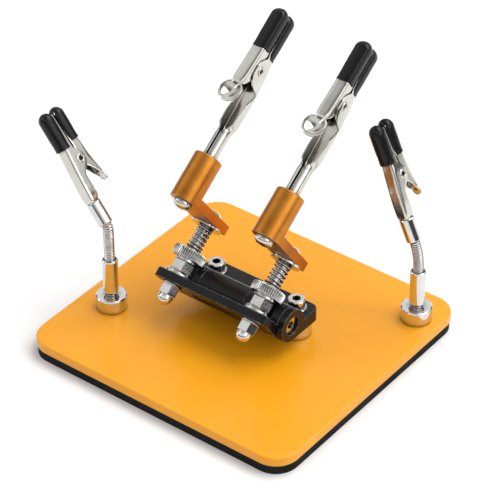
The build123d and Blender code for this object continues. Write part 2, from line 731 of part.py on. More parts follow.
SEAT_RADIUS = 5.2
CRANK_WASHER_RADIUS = 8.2
WASHER_BORE = PIVOT_RADIUS + FIT
SPRING_RADIUS = 3.85
SPRING_WIRE = 0.55
SPRING_TURNS = 5

for side, pivot_x in PIVOT_X.items():
    save(knurled_nut(pivot_x), f"{side}_knurled_nut")
    seat_plane = leaf_plane(pivot_x, PIVOT_REACH, SEAT_BOTTOM)
    save(washer(seat_plane, SEAT_RADIUS, WASHER_BORE, SEAT_THICKNESS), f"{side}_spring_seat")
    spring_plane = leaf_plane(pivot_x, PIVOT_REACH, SPRING_BOTTOM)
    spring = coil(spring_plane, SPRING_RADIUS, SPRING_WIRE, SPRING_TOP - SPRING_BOTTOM, SPRING_TURNS)
    save(spring, f"{side}_tension_spring")
    washer_plane = leaf_plane(pivot_x, PIVOT_REACH, SPRING_TOP)
    save(washer(washer_plane, CRANK_WASHER_RADIUS, WASHER_BORE, CRANK_WASHER_THICKNESS), f"{side}_crank_washer")
    crank_frame = leaf_plane(pivot_x, PIVOT_REACH, CRANK_BOTTOM, CRANK_YAW[side])
    save(crank_arm(crank_frame), f"{side}_crank_arm")
    holder = Plane(
        origin=crank_frame.from_local_coords((0, -CRANK_REACH, 0)),
        x_dir=crank_frame.x_dir,
        z_dir=crank_frame.z_dir,
    )
    screw_frame = Plane(holder.offset(-FIT).origin, x_dir=holder.x_dir, z_dir=holder.z_dir * -1)
    clip_frame = holder.offset(CRANK_HEIGHT)
    save(swivel_screw(screw_frame), f"{side}_swivel_screw")
    clip_set(clip_frame, LARGE, f"{side}_clip")


# ---- Small flexible arms ----------------------------------------------------------------------
def post(x, y):
    """Chrome post screwed into the cup, with a socket for the gooseneck."""
    with BuildPart() as body:
        with BuildSketch(Plane.XZ.offset(-y)):
            with BuildLine():
                Polyline(
                    (x, POST_BOTTOM),
                    (x + 3.0, POST_BOTTOM),
                    (x + 3.0, POST_BOTTOM + 4.2),
                    (x + POST_RADIUS, POST_BOTTOM + 5.6),
                    (x + POST_RADIUS, POST_TOP - 0.5),
                    (x + POST_RADIUS - 0.5, POST_TOP),
                    (x, POST_TOP),
                    close=True,
                )
            make_face()
        revolve(axis=Axis((x, y, 0), (0, 0, 1)))
        with BuildSketch(Plane.XY.offset(POST_TOP)):
            with Locations((x, y)):
                Circle(NECK_RADIUS)
        extrude(amount=-6, mode=Mode.SUBTRACT)
        with BuildSketch(Plane.XY.offset(POST_TOP)):
            with Locations((x, y)):
                Circle(NECK_RADIUS + 0.7)
        extrude(amount=-1.2, mode=Mode.SUBTRACT)
    return body.part


def neck_end(side):
    """Plane at the upper end of the gooseneck, its Z along the clip."""
    x, y = ARM_PLACES[side]
    lean = radians(ARM_LEAN[side])
    radius = ARM_BEND_RADIUS[side]
    end = Vector(x - radius * (1 - cos(lean)), y, ARM_BEND_START[side] + radius * sin(lean))
    along = Vector(-sin(lean), 0, cos(lean))
    return Plane(origin=end, x_dir=Vector(0, -1, 0).cross(along), z_dir=along)


def gooseneck(side):
    """Flexible neck: straight out of the post, then bent towards the clip."""
    x, y = ARM_PLACES[side]
    end = neck_end(side)
    socket = FERRULE_LENGTH * 0.5
    with BuildPart() as neck:
        with BuildLine():
            riser = Line((x, y, POST_TOP - 6), (x, y, ARM_BEND_START[side]))
            bend = TangentArc(riser @ 1, end.origin, tangent=riser % 1)
            Line(bend @ 1, end.offset(socket).origin)
        with BuildSketch(Plane.XY.offset(POST_TOP - 6)):
            with Locations((x, y)):
                Circle(NECK_RADIUS)
        sweep()
    return neck.part


def ferrule(side):
    end = neck_end(side)
    with BuildPart() as tube:
        with BuildSketch(end):
            Circle(FERRULE_RADIUS)
        extrude(amount=FERRULE_LENGTH)
        chamfer(tube.edges().filter_by(GeomType.CIRCLE), 0.4)
        with BuildSketch(end):
            Circle(NECK_RADIUS + NECK_PLAY)
        extrude(amount=FERRULE_LENGTH * 0.5 + NECK_PLAY, mode=Mode.SUBTRACT)
        with BuildSketch(end.offset(FERRULE_LENGTH)):
            Circle(SMALL.shank)
        extrude(amount=-FERRULE_LENGTH * 0.5 + 0.5, mode=Mode.SUBTRACT)
    return tube.part


for side, (arm_x, arm_y) in ARM_PLACES.items():
    save(magnet_cup(arm_x, arm_y, 3.0 + FIT, FOOT_HEIGHT - 5.0), f"{side}_arm_magnet_cup")
    save(magnet(arm_x, arm_y), f"{side}_arm_magnet")
    save(post(arm_x, arm_y), f"{side}_arm_post")
    save(gooseneck(side), f"{side}_arm_gooseneck")
    save(ferrule(side), f"{side}_arm_ferrule")
    small_frame = neck_end(side).offset(FERRULE_LENGTH)
    clip_set(small_frame, SMALL, f"{side}_arm_clip")
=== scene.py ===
"""Looks of the helping hands clamp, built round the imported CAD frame.  Lengths are in metres."""
import bpy
import json
from math import acos, cos, pi, radians, sin, sqrt, tau
from mathutils import Matrix, Vector

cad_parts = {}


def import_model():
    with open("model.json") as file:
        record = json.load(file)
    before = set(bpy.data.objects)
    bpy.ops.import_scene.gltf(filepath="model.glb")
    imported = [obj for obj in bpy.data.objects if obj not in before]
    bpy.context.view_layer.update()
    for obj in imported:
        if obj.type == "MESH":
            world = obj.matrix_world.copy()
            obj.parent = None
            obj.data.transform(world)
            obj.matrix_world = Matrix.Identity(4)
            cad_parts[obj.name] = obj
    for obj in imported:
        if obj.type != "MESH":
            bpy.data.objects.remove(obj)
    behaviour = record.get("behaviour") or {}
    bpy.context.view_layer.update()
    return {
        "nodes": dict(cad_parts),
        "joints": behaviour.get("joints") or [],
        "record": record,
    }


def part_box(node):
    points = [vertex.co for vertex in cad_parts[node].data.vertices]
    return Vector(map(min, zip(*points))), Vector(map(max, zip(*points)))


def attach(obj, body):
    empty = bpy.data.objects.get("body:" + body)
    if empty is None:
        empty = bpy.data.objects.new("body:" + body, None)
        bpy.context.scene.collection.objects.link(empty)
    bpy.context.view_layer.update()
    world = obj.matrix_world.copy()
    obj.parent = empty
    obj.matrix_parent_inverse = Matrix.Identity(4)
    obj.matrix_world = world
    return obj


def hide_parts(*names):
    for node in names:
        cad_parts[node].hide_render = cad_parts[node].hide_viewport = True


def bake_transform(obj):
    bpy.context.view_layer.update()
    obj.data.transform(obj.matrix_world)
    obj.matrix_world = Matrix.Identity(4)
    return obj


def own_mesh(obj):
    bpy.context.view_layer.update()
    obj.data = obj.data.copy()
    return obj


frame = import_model()

MM = 0.001
JOINTS = {joint["name"]: joint for joint in frame["joints"]}
SIDES = ("left", "right")


# ---- Materials ------------------------------------------------------------------------------------
def add_node(tree, kind, **inputs):
    """A shader node with some of its input sockets set."""
    node = tree.nodes.new(kind)
    for name, value in inputs.items():
        node.inputs[name.replace("_", " ")].default_value = value
    return node


def ramp(tree, source, low, high, start=0.3, end=0.7):
    """Colour ramp between two colours, driven by a 0 to 1 value."""
    node = tree.nodes.new("ShaderNodeValToRGB")
    node.color_ramp.elements[0].position = start
    node.color_ramp.elements[0].color = (*low, 1.0)
    node.color_ramp.elements[1].position = end
    node.color_ramp.elements[1].color = (*high, 1.0)
    tree.links.new(source, node.inputs["Fac"])
    return node.outputs["Color"]


def span(tree, source, low, high, start=0.3, end=0.7):
    """Maps a 0 to 1 value onto a range."""
    node = add_node(tree, "ShaderNodeMapRange")
    node.inputs["From Min"].default_value = start
    node.inputs["From Max"].default_value = end
    node.inputs["To Min"].default_value = low
    node.inputs["To Max"].default_value = high
    tree.links.new(source, node.inputs["Value"])
    return node.outputs["Result"]


def noise(tree, scale, detail=4.0, stretch=(1, 1, 1), turn=(0, 0, 0)):
    """Noise in the object's own metres, optionally stretched along a turned axis."""
    place = add_node(tree, "ShaderNodeTexCoord")
    mapping = add_node(tree, "ShaderNodeMapping")
    mapping.vector_type = "TEXTURE"
    mapping.inputs["Scale"].default_value = stretch
    mapping.inputs["Rotation"].default_value = turn
    tree.links.new(place.outputs["Object"], mapping.inputs["Vector"])
    texture = add_node(tree, "ShaderNodeTexNoise", Scale=scale, Detail=detail)
    tree.links.new(mapping.outputs["Vector"], texture.inputs["Vector"])
    return texture.outputs["Fac"]


def edges(tree, radius):
    """Mask that is 1 on sharp edges, and the rounded normal it comes from."""
    bevel = tree.nodes.new("ShaderNodeBevel")
    bevel.samples = 6
    bevel.inputs["Radius"].default_value = radius
    geometry = tree.nodes.new("ShaderNodeNewGeometry")
    dot = tree.nodes.new("ShaderNodeVectorMath")
    dot.operation = "DOT_PRODUCT"
    tree.links.new(bevel.outputs["Normal"], dot.inputs[0])
    tree.links.new(geometry.outputs["Normal"], dot.inputs[1])
    return span(tree, dot.outputs["Value"], 1.0, 0.0, 0.86, 0.985), bevel.outputs["Normal"]


def paint_corner_shade(tree, colour, dark, reach):
    """Mixes a colour towards a dark one in narrow corners: painted shade."""
    hidden = tree.nodes.new("ShaderNodeAmbientOcclusion")
    hidden.samples = 8
    hidden.inputs["Distance"].default_value = reach
    mix = tree.nodes.new("ShaderNodeMix")
    mix.data_type = "RGBA"
    mix.inputs["A"].default_value = (*dark, 1.0)
    tree.links.new(span(tree, hidden.outputs["AO"], 0.0, 1.0, 0.15, 0.85), mix.inputs["Factor"])
    tree.links.new(colour, mix.inputs["B"])
    return mix.outputs["Result"]


SMUDGE_RATIO = 3.1      # how much finer the smudges are than the colour patches
EDGE_SPECKS = 700.0     # scale of the specks that break up the wear and painted highlight along edges


def surface(
    name, colours, rough, metallic=0.0, patches=60.0, grain=1800.0, bump=0.1, depth=0.00002,
    stretch=(1, 1, 1), turn=(0, 0, 0), edge_wear_and_glint=None, edge_radius=0.0003, coat=0.0, coat_rough=0.1,
    ior=1.5, dark=None, reach=0.006,
):
    """Procedural material: slow colour patches, smudged roughness, fine bump, edges lightened by wear and
    a painted highlight, and corners darkened by painted shade.
    """
    material = bpy.data.materials.new(name)
    material.use_nodes = True
    tree = material.node_tree
    shader = tree.nodes["Principled BSDF"]
    shader.inputs["Metallic"].default_value = metallic
    shader.inputs["IOR"].default_value = ior
    shader.inputs["Coat Weight"].default_value = coat
    shader.inputs["Coat Roughness"].default_value = coat_rough
    slow = noise(tree, patches)
    fine = noise(tree, grain, 3.0, stretch, turn)
    smudges = noise(tree, patches * SMUDGE_RATIO, 6.0)
    colour = ramp(tree, slow, *colours)
    roughness = span(tree, smudges, *rough)
    worn_and_glinting, rounded = edges(tree, edge_radius)
    # painted highlight and wear: a lighter colour on sharp edges, broken up by specks
    if edge_wear_and_glint:
        mottle = tree.nodes.new("ShaderNodeMath")
        mottle.operation = "MULTIPLY"
        tree.links.new(worn_and_glinting, mottle.inputs[0])
        specks = span(tree, noise(tree, EDGE_SPECKS), 0.15, 0.9, 0.4, 0.62)
        tree.links.new(specks, mottle.inputs[1])
        mix = tree.nodes.new("ShaderNodeMix")
        mix.data_type = "RGBA"
        mix.inputs["B"].default_value = (*edge_wear_and_glint, 1.0)
        tree.links.new(mottle.outputs["Value"], mix.inputs["Factor"])
        tree.links.new(colour, mix.inputs["A"])
        colour = mix.outputs["Result"]
    # painted shade: darkens the colour in corners and crevices by ambient occlusion
    if dark:
        colour = paint_corner_shade(tree, colour, dark, reach)
    height = add_node(tree, "ShaderNodeBump", Strength=bump, Distance=depth)
    tree.links.new(fine, height.inputs["Height"])
    tree.links.new(rounded, height.inputs["Normal"])
    tree.links.new(colour, shader.inputs["Base Color"])
    tree.links.new(roughness, shader.inputs["Roughness"])
    tree.links.new(height.outputs["Normal"], shader.inputs["Normal"])
    return material


# Lean of the pivot screws from the vertical.
LEAN = radians(90) - acos(JOINTS["left_crank_swing"]["axis"][1])

# the dark colours below are painted shade in corners and crevices
# the lighter colours on edges below are painted highlight and wear along sharp edges
MATERIALS = {
    "orange_powder_coat": surface(
        "orange_powder_coat", ((0.80, 0.320, 0.005), (0.84, 0.345, 0.008)), (0.28, 0.36),
        patches=14.0, grain=1500.0, bump=0.10, depth=0.00004, edge_wear_and_glint=(0.95, 0.45, 0.04),
        edge_radius=0.0006, ior=1.36, coat=0.22, coat_rough=0.14,
    ),
    "black_rubber": surface(
        "black_rubber", ((0.004, 0.004, 0.0045), (0.009, 0.009, 0.0095)), (0.72, 0.9),
        patches=90.0, grain=900.0, bump=0.5, depth=0.0002, ior=1.3,
    ),
    "black_anodised": surface(
        "black_anodised", ((0.004, 0.004, 0.0045), (0.008, 0.008, 0.009)), (0.20, 0.30),
        patches=120.0, grain=2600.0, bump=0.10, edge_wear_and_glint=(0.42, 0.41, 0.40), edge_radius=0.0004, ior=1.32,
    ),
    "copper_anodised": surface(
        "copper_anodised", ((0.46, 0.170, 0.022), (0.58, 0.225, 0.034)), (0.29, 0.37),
        metallic=1.0, patches=90.0, grain=900.0, bump=0.10, depth=0.00003,
        stretch=(1, 1, 0.04), turn=(-LEAN, 0, 0), edge_wear_and_glint=(0.80, 0.48, 0.20), edge_radius=0.0004,
    ),
    "chrome_plate": surface(
        "chrome_plate", ((0.66, 0.65, 0.64), (0.73, 0.725, 0.72)), (0.035, 0.09), metallic=1.0,
        patches=200.0, grain=1200.0, bump=0.03, dark=(0.10, 0.09, 0.08), reach=0.004,
    ),
    "polished_steel": surface(
        "polished_steel", ((0.58, 0.575, 0.55), (0.70, 0.695, 0.67)), (0.09, 0.22), metallic=1.0,
        patches=260.0, grain=2400.0, bump=0.10, edge_wear_and_glint=(0.88, 0.87, 0.85), edge_radius=0.0002,
        dark=(0.05, 0.048, 0.044), reach=0.005,
    ),
    "spring_steel": surface(
        "spring_steel", ((0.40, 0.39, 0.37), (0.60, 0.59, 0.56)), (0.12, 0.26), metallic=1.0,
        patches=400.0, grain=3000.0, bump=0.10, dark=(0.02, 0.019, 0.017), reach=0.006,
    ),
    "neck_steel": surface(
        "neck_steel", ((0.50, 0.49, 0.47), (0.66, 0.65, 0.63)), (0.10, 0.20), metallic=1.0,
        patches=300.0, grain=2600.0, bump=0.08, dark=(0.05, 0.047, 0.043), reach=0.0012,
    ),
    "clip_nickel": surface(
        "clip_nickel", ((0.58, 0.565, 0.515), (0.66, 0.645, 0.595)), (0.10, 0.20), metallic=1.0,
        patches=110.0, grain=2200.0, bump=0.07, stretch=(1, 1, 0.1), turn=(-LEAN, 0, 0),
        edge_wear_and_glint=(0.80, 0.79, 0.77), edge_radius=0.00018, dark=(0.035, 0.033, 0.026), reach=0.010,
    ),
    "magnet_nickel": surface(
        "magnet_nickel", ((0.52, 0.52, 0.52), (0.62, 0.62, 0.62)), (0.2, 0.34), metallic=1.0,
        patches=200.0, grain=1800.0, bump=0.10,
    ),
    "boot_black": surface(
        "boot_black", ((0.0045, 0.0045, 0.005), (0.008, 0.008, 0.0085)), (0.14, 0.22),
        patches=160.0, grain=1600.0, bump=0.10, depth=0.00003, ior=1.34,
    ),
}

NODE_SLOT = {part["node"]: part["material_slot"] for part in frame["record"]["subparts"]}
for node, piece in frame["nodes"].items():
    piece.data.materials.clear()
    piece.data.materials.append(MATERIALS[NODE_SLOT[node]])


# ---- Mesh helpers ---------------------------------------------------------------------------------
def smooth_step(value, low, high):
    """0 below low, 1 above high, and smooth between."""
    share = min(max((value - low) / (high - low), 0.0), 1.0)
    return share * share * (3 - 2 * share)


def follow(value, points):
    """Height at a place on the smooth curve through (place, height) points, without overshoot."""
    places = [place for place, height in points]
    heights = [height for place, height in points]
    last = len(points) - 1
    if value <= places[0]:
        return heights[0]
    if value >= places[last]:
        return heights[last]
    slopes = [(heights[i + 1] - heights[i]) / (places[i + 1] - places[i]) for i in range(last)]
    tangents = [slopes[0]]
    for before, after in zip(slopes, slopes[1:]):
        tangents.append(2 * before * after / (before + after) if before * after > 0 else 0.0)
    tangents.append(slopes[-1])
    i = max(k for k in range(last) if places[k] <= value)
    width = places[i + 1] - places[i]
    t = (value - places[i]) / width
    rise = heights[i] * (1 - 3 * t ** 2 + 2 * t ** 3) + heights[i + 1] * (3 * t ** 2 - 2 * t ** 3)
    lean = tangents[i] * (t - 2 * t ** 2 + t ** 3) + tangents[i + 1] * (t ** 3 - t ** 2)
    return rise + width * lean


def grid_mesh(name, rows, closed=False, caps=(False, False)):
    """Mesh from rows of points; closed joins each row into a ring, and caps fill the end rows."""
    count = len(rows[0])
    points = [point for row in rows for point in row]
    faces = []
    for i in range(len(rows) - 1):
        for j in range(count if closed else count - 1):
            k = (j + 1) % count
            faces.append((i * count + j, i * count + k, (i + 1) * count + k, (i + 1) * count + j))
    if caps[0]:
        faces.append(tuple(reversed(range(count))))
    if caps[1]:
        faces.append(tuple((len(rows) - 1) * count + j for j in range(count)))
    mesh = bpy.data.meshes.new(name)
    mesh.from_pydata(points, [], faces)
    mesh.update()
    return mesh


def finish_piece(name, mesh, slot, body, *nodes, thickness=0.0, bevel=0.0, sharp=40):
    """Object with its sheet thickness and rounded edges applied, riding on a body."""
    piece = bpy.data.objects.new(name, mesh)
    bpy.context.scene.collection.objects.link(piece)
    if thickness:
        solid = piece.modifiers.new("sheet", "SOLIDIFY")
        solid.thickness = thickness
        solid.offset = 0.0
        solid.use_even_offset = True
    if bevel:
        rounding = piece.modifiers.new("rounding", "BEVEL")
        rounding.width = bevel
        rounding.segments = 2
        rounding.limit_method = "ANGLE"
        rounding.angle_limit = radians(50)
    view = bpy.context.evaluated_depsgraph_get()
    view.update()
    made = bpy.data.meshes.new_from_object(piece.evaluated_get(view))
    piece.modifiers.clear()
    piece.data = made
    made.name = name
    made.shade_smooth()
    made.set_sharp_from_angle(angle=radians(sharp))
    made.materials.clear()
    made.materials.append(MATERIALS[slot])
    if nodes:
        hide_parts(*nodes)
    if body:
        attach(piece, body)
    return piece


# ---- Clips ----------------------------------------------------------------------------------------
class Frame:
    """A clip's own axes: along to the tips, up to the upper jaw, across along the rivet."""

    def __init__(self, origin, along, across):
        self.origin = Vector(origin)
        self.along = Vector(along).normalized()
        self.across = Vector(across).normalized()
        self.up = self.across.cross(self.along).normalized()

    def place(self, x, up, along):
        """Point in the scene from millimetres in the clip's axes."""
        return self.origin + (self.across * x + self.up * up + self.along * along) * MM


def channel(width, web, top, corner, steps=4):
    """Open channel section: down one wall, across the web and up the other wall."""
    points = [(-width, top + (web + corner - top) * i / steps) for i in range(steps)]
    points += [
        (-width + corner - corner * cos(a), web + corner - corner * sin(a))
        for a in (pi / 2 * i / steps for i in range(steps + 1))
    ]
    half = points + [(-(width - corner) / 2, web)]
    mirrored = [(-x, h) for x, h in reversed(half)]
    return half + [(0.0, web)] + mirrored


def ring(radius, gap, count):
    """Rolled tube section with an open seam on top."""
    start = gap / radius
    turn = [start + (tau - 2 * start) * i / (count - 1) for i in range(count)]
    return [(-radius * sin(a), radius * cos(a)) for a in turn]


def mixed(first, second, share):
    """Section part of the way from one section to another."""
    return [
        (a[0] + (b[0] - a[0]) * share, a[1] + (b[1] - a[1]) * share) for a, b in zip(first, second)
    ]


def positions(start, end, step):
    """Even places from start to end, about a step apart."""
    count = max(int(round((end - start) / step)), 1)
    return [start + (end - start) * i / count for i in range(count + 1)]


# The clips' sizes in millimetres.  A list holds (place along the clip, height or half width).
LARGE = {
    "rivet": 49.2, "mouth": 5.5, "length": 82.4, "sheet": 0.7, "shank": 3.65, "start": -17.6,
    "seam": 0.5, "rolled": (13.0, 20.0),
    "width": [(15, 3.9), (21, 4.15), (30, 4.25), (50, 4.25), (57, 3.9), (60, 3.2), (80, 2.6)],
    "web": [(12, -3.65), (34, -3.5), (46, -2.4), (60, -0.3), (80, 2.2)],
    "top": [
        (13, 1.4), (17, 2.3), (24, 2.4), (30, 1.6), (37.2, -1.6), (38.6, -1.9), (40.4, 4.4),
        (43, 8.2), (47.2, 9.9), (50, 9.9), (54, 8.2), (57.5, 4.9), (80, 4.7),
    ],
    "corner": 1.3,
    "boot": 23.4, "lower_boot": 25.4, "boot_half": (4.45, 3.7), "boot_square": 3.0,
    "back_width": 3.45, "pad": (32.4, 6.3), "neck": 2.75,
    "back": [
        (26, 15.0), (32, 14.4), (38.5, 13.5), (43, 13.1), (49, 12.6), (58.5, 12.1), (61.5, 11.2),
        (76, 10.6), (80, 9.4),
    ],
    "wall": [
        (36.6, 13.3), (39.0, 10.4), (41.5, 8.6), (44.5, 6.2), (49.2, 2.4), (52.5, 4.2), (55, 6.3),
        (80, 6.3),
    ],
    "dish": 2.3,
}
SMALL = {
    "rivet": 22.0, "mouth": 4.6, "length": 50.0, "sheet": 0.6, "shank": 2.7, "start": -5.3,
    "seam": 0.4, "rolled": (-1.5, 1.5),
    "width": [(-1, 2.9), (4, 3.3), (10, 3.45), (24, 3.45), (30, 3.2), (48, 2.5)],
    "web": [(-1, -2.9), (4, -2.75), (14, -2.1), (29, -0.6), (48, 1.3)],
    "top": [
        (-1, 1.2), (1.0, 2.0), (3.5, 2.6), (9, 2.4), (13.4, 2.5), (15.2, 3.4), (17.0, 5.4),
        (18.8, 6.9), (21, 7.7), (23, 7.7), (26, 6.4), (28.5, 4.2), (48, 4.0),
    ],
    "corner": 1.0,
    "boot": 18.6, "lower_boot": 20.6, "boot_half": (4.1, 3.7), "boot_square": 2.2,
    "back_width": 2.7, "pad": (8.3, 2.75), "neck": 2.75,
    "back": [
        (5.3, 14.6), (9, 13.9), (16, 12.4), (22, 11.4), (29.5, 10.8), (32, 10.0), (45, 9.4),
        (48, 8.4),
    ],
    "wall": [
        (7.4, 13.7), (10.0, 12.0), (14.0, 9.6), (18.2, 5.8), (22, 2.2), (25, 3.6), (27, 5.3),
        (48, 5.3),
    ],
    "dish": 0.25,
}


TIP_GAP = 2.4               # from the end of a jaw's sheet to the end of its boot
SHEET_STEP = 0.4            # between the sections of a jaw
SHEET_ROUNDING = 0.12 * MM
FOLD = 1.1                  # corner of the upper jaw's channel
PAD_STEPS = 14              # sections over the outer half of the thumb pad
NARROWEST = 0.12


def lower_jaw(name, axes, size, body):
    """Rolled shank that opens into a flared channel with an ear on each side of the rivet."""
    rows = []
    for s in positions(size["start"], size["length"] - TIP_GAP, SHEET_STEP):
        width = follow(s, size["width"])
        web = follow(s, size["web"])
        open_section = channel(width, web, follow(s, size["top"]), size["corner"])
        rolled = ring(size["shank"], size["seam"], len(open_section))
        share = smooth_step(s, *size["rolled"])
        rows.append([axes.place(x, h, s) for x, h in mixed(rolled, open_section, share)])
    finish_piece(
        f"{name}_sheet", grid_mesh(name, rows), "clip_nickel", body, f"{name}_lower_jaw",
        thickness=size["sheet"] * MM, bevel=SHEET_ROUNDING,
    )


def lever_width(s, size):
    """Half width of the lever: the disc of its pad, a neck, its straight back, and less in the boot."""
    pad_at, pad_radius = size["pad"]
    neck_end = pad_at + pad_radius
    boot_at = size["length"] - size["boot"]
    disc = sqrt(max(pad_radius ** 2 - (s - pad_at) ** 2, 0.0))
    flare = max(disc, size["neck"] * smooth_step(s, pad_at, neck_end))
    straight = smooth_step(s, neck_end - 0.1 * pad_radius, neck_end + 3)
    width = flare + (size["back_width"] - flare) * straight
    return max(width * (1 - 0.2 * smooth_step(s, boot_at, boot_at + 3)), NARROWEST)


def pad_section(s, size, width, back, count):
    """Flat section of the lever, sunk by the bowl of the thumb pad and bent down at its rim."""
    pad_at, pad_radius = size["pad"]
    section = []
    for i in range(count):
        x = width * (2 * i / (count - 1) - 1)
        off = sqrt(x * x + (s - pad_at - 0.1 * pad_radius) ** 2) / pad_radius
        bowl = max(1 - (off / 0.95) ** 2, 0.0) ** 1.5
        rim = 0.4 * smooth_step(off, 0.85, 1.1) if s < pad_at else 0.0
        section.append((x, back - size["dish"] * bowl - rim))
    return section


def upper_jaw(name, axes, size, body):
    """Inverted channel whose back runs down into a dished thumb pad."""
    pad_at, pad_radius = size["pad"]
    pad_places = [pad_at - pad_radius * cos(pi / 2 * i / PAD_STEPS) for i in range(PAD_STEPS)]
    fold_start, fold_end = size["wall"][0][0], size["wall"][1][0]
    rows = []
    for s in pad_places + positions(pad_at, size["length"] - TIP_GAP, SHEET_STEP):
        width = lever_width(s, size)
        back = follow(s, size["back"])
        wall = follow(s, size["wall"])
        walled = [(x, 2 * back - h) for x, h in channel(width, back, 2 * back - wall, FOLD)]
        flat = pad_section(s, size, width, back, len(walled))
        section = mixed(flat, walled, smooth_step(s, fold_start, fold_end))
        rows.append([axes.place(x, h, s) for x, h in section])
    finish_piece(
        f"{name}_lever", grid_mesh(name, rows), "clip_nickel", body, f"{name}_upper_jaw",
        thickness=size["sheet"] * MM, bevel=SHEET_ROUNDING,
    )


def oval(half_width, half_height, square, count=36):
    """Rounded section between an ellipse and a rectangle."""
    points = []
    for i in range(count):
        a = tau * i / count
        x = abs(cos(a)) ** (2 / square) * (1 if cos(a) >= 0 else -1)
        y = abs(sin(a)) ** (2 / square) * (1 if sin(a) >= 0 else -1)
        points.append((half_width * x, half_height * y))
    return points


# Rolled mouth of a boot, from inside it: (place after the mouth, how much the section grows).
BOOT_MOUTH = (
    (2.4, -1.3), (0.5, -1.0), (0.05, -0.6), (0.0, -0.3), (0.1, -0.08), (0.5, 0.02), (1.2, -0.05),
)
BOOT_PINCH = 0.12           # how much slimmer a boot is behind its mouth
BOOT_GAP = 0.08             # from each boot to the plane they meet on
TIP_RATIO = 1.15            # length of the round tip for the boot's half height
TIP_STEPS = 10


def boot(name, axes, size, body, upper):
    """Soft dipped sleeve: an open rolled mouth, a slightly full body and a round tip."""
    length = size["length"]
    start = length - (size["boot"] if upper else size["lower_boot"])
    half_width, half_height = size["boot_half"]
    centre = size["mouth"] + (1 if upper else -1) * (BOOT_GAP + half_height)
    tip = TIP_RATIO * half_height
    stations = [(start + s, grow) for s, grow in BOOT_MOUTH]
    for s in positions(start + 2, length - tip, 1.0):
        stations.append((s, BOOT_PINCH * (smooth_step(s, start + 2, start + 9) - 1)))
    rows = []
    for s, grow in stations:
        section = oval(half_width + grow, half_height + grow, size["boot_square"])
        rows.append([axes.place(x, centre + h, s) for x, h in section])
    for i in range(1, TIP_STEPS):
        a = pi / 2 * i / (TIP_STEPS - 0.5)
        s = length - tip + tip * sin(a)
        section = oval(half_width * cos(a), half_height * cos(a), 2 + (size["boot_square"] - 2) * cos(a))
        rows.append([axes.place(x, centre + h, s) for x, h in section])
    mesh = grid_mesh(name, rows, closed=True, caps=(False, True))
    which = "upper" if upper else "lower"
    finish_piece(f"{name}_{which}_sleeve", mesh, "boot_black", body, f"{name}_{which}_boot", sharp=60)


def spun(name, place, profile, sides, teeth=None):
    """Mesh of a turned piece: the profile holds (radius, height), and teeth(angle, radius) is cut off."""
    rows = []
    for radius, height in profile:
        row = []
        for j in range(sides):
            a = tau * j / sides
            cut = teeth(a, radius) if teeth else 0.0
            row.append(place((radius - cut) * cos(a), (radius - cut) * sin(a), height))
        rows.append(row)
    return grid_mesh(name, rows, closed=True)


RIVET_BORE = 1.25
# Rolled rim of a rivet: (radius, height over the face of the jaw's ear).
RIVET_RIM = (
    (RIVET_BORE, -0.8), (RIVET_BORE, 0.1), (1.4, 0.42), (1.75, 0.52), (2.25, 0.36), (2.45, 0.0),
    (1.6, -0.1),
)


def rivet(name, axes, size, body):
    """Hollow eyelet rivet with a rolled rim on each side, and a black plug in its bore as painted shade.
    """
    face = max(half for s, half in size["width"]) + size["sheet"] / 2
    side = [(radius, -face - height) for radius, height in RIVET_RIM]
    tube = side + [(radius, -height) for radius, height in reversed(side)]
    tube.append(side[0])
    depth = face + 0.04
    middle, wall = 0.02, RIVET_BORE - 0.03
    bore_shade_plug = [(middle, -depth), (wall, -depth), (wall, depth), (middle, depth)]

    def place(x, y, h):
        return axes.place(h, size["mouth"] + x, size["rivet"] + y)

    eyelet = spun(name, place, tube, 36)
    finish_piece(f"{name}_eyelet", eyelet, "clip_nickel", body, f"{name}_rivet", sharp=60)
    # painted shade: a black plug fills the hollow bore of the rivet
    finish_piece(f"{name}_eyelet_bore_shade", spun(name, place, bore_shade_plug, 24), "boot_black", body)


def clip(name, axes, size, clip_body, jaw_body):
    """One crocodile clip on its two bodies."""
    rivet(name, axes, size, clip_body)
    lower_jaw(name, axes, size, clip_body)
    upper_jaw(name, axes, size, jaw_body)
    boot(name, axes, size, jaw_body, True)
    boot(name, axes, size, clip_body, False)


def arm_axes(side):
    """Axes of a small clip, from its foot."""
    jaw = JOINTS[f"{side}_arm_jaw_open"]
    up = Vector(JOINTS[f"{side}_neck_bend"]["axis"])
    along = up.cross(Vector(jaw["axis"]))
    foot = Vector(jaw["pos_m"]) - (up * SMALL["mouth"] + along * SMALL["rivet"]) * MM
    return Frame(foot, along, jaw["axis"])


for side in SIDES:
    turn = JOINTS[f"{side}_clip_turn"]
    axes = Frame(turn["pos_m"], turn["axis"], JOINTS[f"{side}_jaw_open"]["axis"])
    clip(f"{side}_clip", axes, LARGE, f"{side}_clip_body", f"{side}_clip_jaw")

for side in SIDES:
    clip(f"{side}_arm_clip", arm_axes(side), SMALL, f"{side}_arm_head", f"{side}_arm_jaw")


# ---- Springs, goosenecks and nuts -----------------------------------------------------------------
def tube_rows(centres, radii, sides):
    """Rings of points along a path of centres."""
    rows = []
    side_axis = None
    for i, centre in enumerate(centres):
        before = centres[max(i - 1, 0)]
        after = centres[min(i + 1, len(centres) - 1)]
        along = (after - before).normalized()
        if side_axis is None:
            side_axis = along.orthogonal().normalized()
        side_axis = (side_axis - along * side_axis.dot(along)).normalized()
        other = along.cross(side_axis)
        rows.append([
            centre + (side_axis * cos(tau * j / sides) + other * sin(tau * j / sides)) * radii[i]
            for j in range(sides)
        ])
    return rows


ACROSS = Vector((1, 0, 0))          # across every pivot screw
WIRE = 0.52 * MM                    # half the spring wire's thickness
SPRING_RADIUS = 3.9 * MM
SPRING_TURNS = 6.5
CLOSED_TURNS = 1.0                  # at each end of the spring
SPRING_STEPS = 28                   # to each turn
SPRING_TOP = 1.4 * MM               # under the crank, below the large washer
SPRING_FOOT = 14.8 * MM             # under the crank, on the seat


